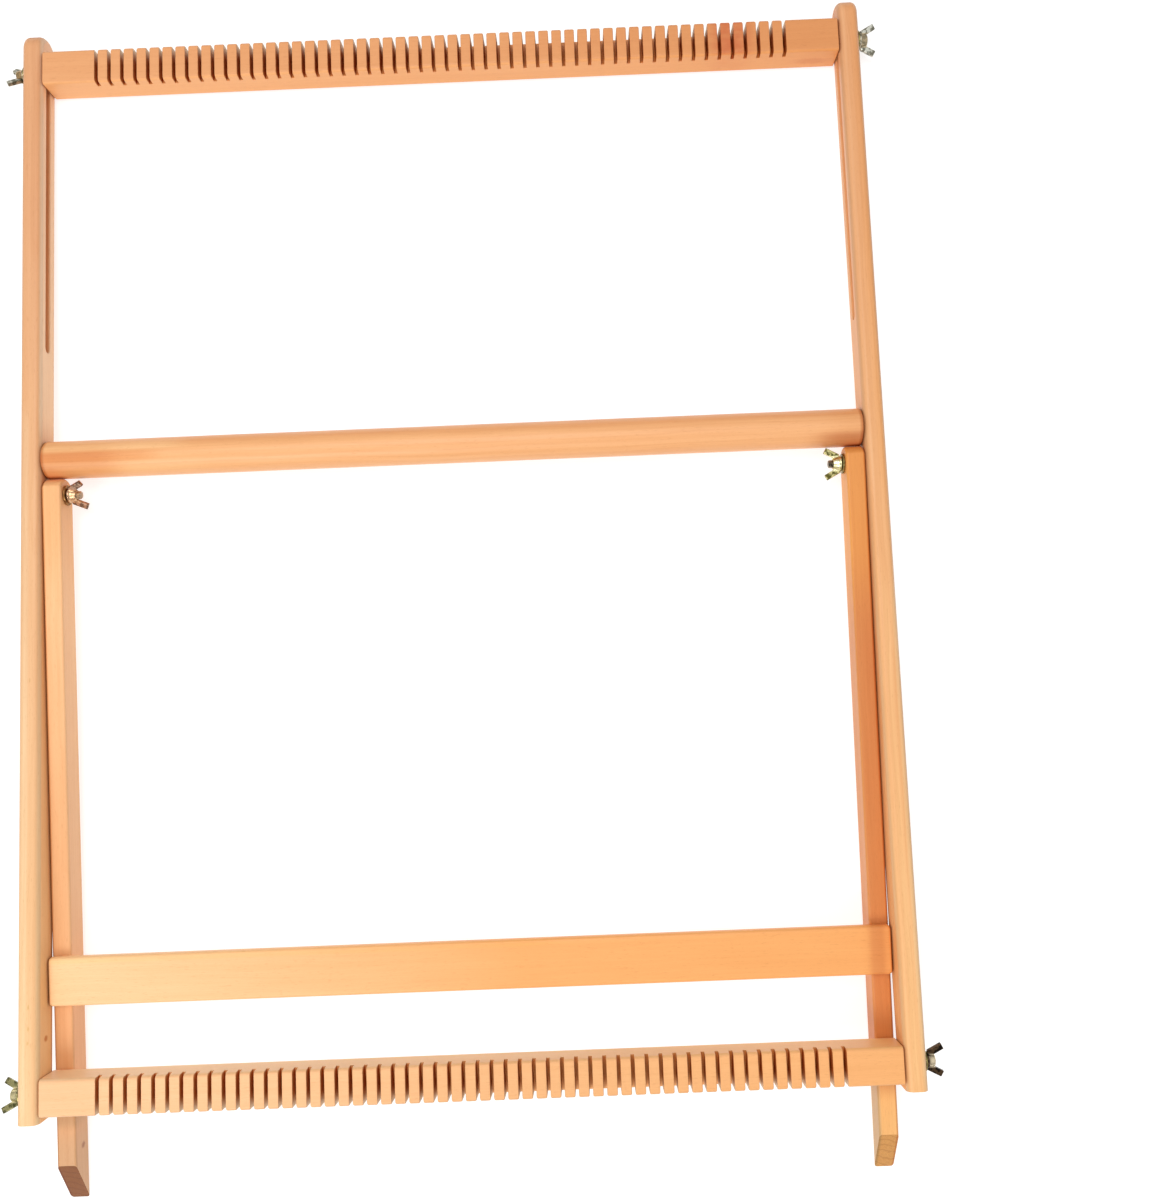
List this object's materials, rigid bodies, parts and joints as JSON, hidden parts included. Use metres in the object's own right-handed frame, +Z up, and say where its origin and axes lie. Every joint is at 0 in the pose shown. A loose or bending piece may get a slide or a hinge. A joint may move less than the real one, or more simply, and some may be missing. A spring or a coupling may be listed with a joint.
{
  "type": "weaving frame",
  "caption": "Wooden weaving frame with notched beams, a slotted adjustable top beam clamped by wing nuts, a round middle bar and a two-legged folding stand.",
  "frame": {"origin": "middle of the ground rectangle under the object, lying on its back with the stand folded", "axes": "+X from the left rail to the right rail, +Y along the ground towards the rounded top ends of the rails, +Z up, out of the notched front of the frame"},
  "size_m": [0.5362, 0.704, 0.0409],
  "materials": {
    "rail_wood": "planed light beech, thin clear satin finish",
    "beam_wood": "planed beech, thin clear satin finish, sawn kerfs",
    "bar_wood": "turned beech dowel, satin",
    "leg_wood": "planed beech, satin",
    "board_wood": "planed pale beech, satin",
    "wing_nut_steel": "yellowish zinc plating, dulled",
    "bolt_steel": "zinc-plated thread",
    "washer_steel": "yellowish zinc plating",
    "insert_brass": "turned brass",
    "screw_steel": "plain zinc"
  },
  "bodies": {
    "frame": {"left_rail": "rail_wood", "right_rail": "rail_wood", "bottom_beam": "beam_wood", "mid_bar": "bar_wood", "bottom_left_stud": "bolt_steel", "bottom_right_stud": "bolt_steel", "bottom_left_insert": "insert_brass", "bottom_right_insert": "insert_brass", "left_pivot_bolt": "bolt_steel", "right_pivot_bolt": "bolt_steel", "left_bar_screw": "screw_steel", "right_bar_screw": "screw_steel"},
    "top_studs": {"top_left_stud": "bolt_steel", "top_right_stud": "bolt_steel"},
    "top_beam": {"top_beam": "beam_wood", "top_left_insert": "insert_brass", "top_right_insert": "insert_brass"},
    "stand": {"left_leg": "leg_wood", "right_leg": "leg_wood", "stand_board": "board_wood", "left_board_screw_lower": "screw_steel", "left_board_screw_upper": "screw_steel", "right_board_screw_lower": "screw_steel", "right_board_screw_upper": "screw_steel"},
    "top_left_washer": {"top_left_washer": "washer_steel"},
    "top_left_wing_nut": {"top_left_wing_nut": "wing_nut_steel"},
    "top_right_washer": {"top_right_washer": "washer_steel"},
    "top_right_wing_nut": {"top_right_wing_nut": "wing_nut_steel"},
    "bottom_left_washer": {"bottom_left_washer": "washer_steel"},
    "bottom_left_wing_nut": {"bottom_left_wing_nut": "wing_nut_steel"},
    "bottom_right_washer": {"bottom_right_washer": "washer_steel"},
    "bottom_right_wing_nut": {"bottom_right_wing_nut": "wing_nut_steel"},
    "left_pivot_washer": {"left_pivot_washer": "washer_steel"},
    "left_pivot_wing_nut": {"left_pivot_wing_nut": "wing_nut_steel"},
    "right_pivot_washer": {"right_pivot_washer": "washer_steel"},
    "right_pivot_wing_nut": {"right_pivot_wing_nut": "wing_nut_steel"}
  },
  "joints": [
    {"name": "stand_swing", "type": "hinge", "parent": "frame", "child": "stand", "pos_m": [0, 0.0642, 0.0191], "axis": [1, 0, 0], "range_deg": [0, 106.5]},
    {"name": "top_beam_slide", "type": "slide", "parent": "frame", "child": "top_studs", "axis": [0, 0.9995, -0.0327], "range_m": [-0.173, 0.0048]},
    {"name": "top_beam_turn", "type": "hinge", "parent": "top_studs", "child": "top_beam", "pos_m": [0, 0.32826, 0.01045], "axis": [1, 0, 0], "continuous": true},
    {"name": "top_left_nut_travel", "type": "slide", "parent": "top_studs", "child": "top_left_washer", "axis": [-1, 0, 0], "range_m": [0, 0.0024]},
    {"name": "top_left_nut_turn", "type": "hinge", "parent": "top_left_washer", "child": "top_left_wing_nut", "pos_m": [-0.263, 0.32826, 0.01045], "axis": [-1, 0, 0], "range_deg": [0, 1080]},
    {"name": "top_right_nut_travel", "type": "slide", "parent": "top_studs", "child": "top_right_washer", "axis": [1, 0, 0], "range_m": [0, 0.0024]},
    {"name": "top_right_nut_turn", "type": "hinge", "parent": "top_right_washer", "child": "top_right_wing_nut", "pos_m": [0.263, 0.32826, 0.01045], "axis": [1, 0, 0], "range_deg": [0, 1080]},
    {"name": "bottom_left_nut_travel", "type": "slide", "parent": "frame", "child": "bottom_left_washer", "axis": [-1, 0, 0], "range_m": [0, 0.0024]},
    {"name": "bottom_left_nut_turn", "type": "hinge", "parent": "bottom_left_washer", "child": "bottom_left_wing_nut", "pos_m": [-0.263, -0.28121, 0.03041], "axis": [-1, 0, 0], "range_deg": [0, 1080]},
    {"name": "bottom_right_nut_travel", "type": "slide", "parent": "frame", "child": "bottom_right_washer", "axis": [1, 0, 0], "range_m": [0, 0.0024]},
    {"name": "bottom_right_nut_turn", "type": "hinge", "parent": "bottom_right_washer", "child": "bottom_right_wing_nut", "pos_m": [0.263, -0.28121, 0.03041], "axis": [1, 0, 0], "range_deg": [0, 1080]},
    {"name": "left_pivot_nut_travel", "type": "slide", "parent": "frame", "child": "left_pivot_washer", "axis": [1, 0, 0], "range_m": [0, 0.0024]},
    {"name": "left_pivot_nut_turn", "type": "hinge", "parent": "left_pivot_washer", "child": "left_pivot_wing_nut", "pos_m": [-0.2258, 0.0642, 0.0191], "axis": [1, 0, 0], "range_deg": [0, 1080]},
    {"name": "right_pivot_nut_travel", "type": "slide", "parent": "frame", "child": "right_pivot_washer", "axis": [-1, 0, 0], "range_m": [0, 0.0024]},
    {"name": "right_pivot_nut_turn", "type": "hinge", "parent": "right_pivot_washer", "child": "right_pivot_wing_nut", "pos_m": [0.2258, 0.0642, 0.0191], "axis": [-1, 0, 0], "range_deg": [0, 1080]}
  ],
  "couplings": [
    {"joint": "top_left_nut_turn", "follows": "top_left_nut_travel", "rad_per_m": 7854},
    {"joint": "top_right_nut_turn", "follows": "top_right_nut_travel", "rad_per_m": 7854},
    {"joint": "bottom_left_nut_turn", "follows": "bottom_left_nut_travel", "rad_per_m": 7854},
    {"joint": "bottom_right_nut_turn", "follows": "bottom_right_nut_travel", "rad_per_m": 7854},
    {"joint": "left_pivot_nut_turn", "follows": "left_pivot_nut_travel", "rad_per_m": 7854},
    {"joint": "right_pivot_nut_turn", "follows": "right_pivot_nut_travel", "rad_per_m": 7854}
  ]
}
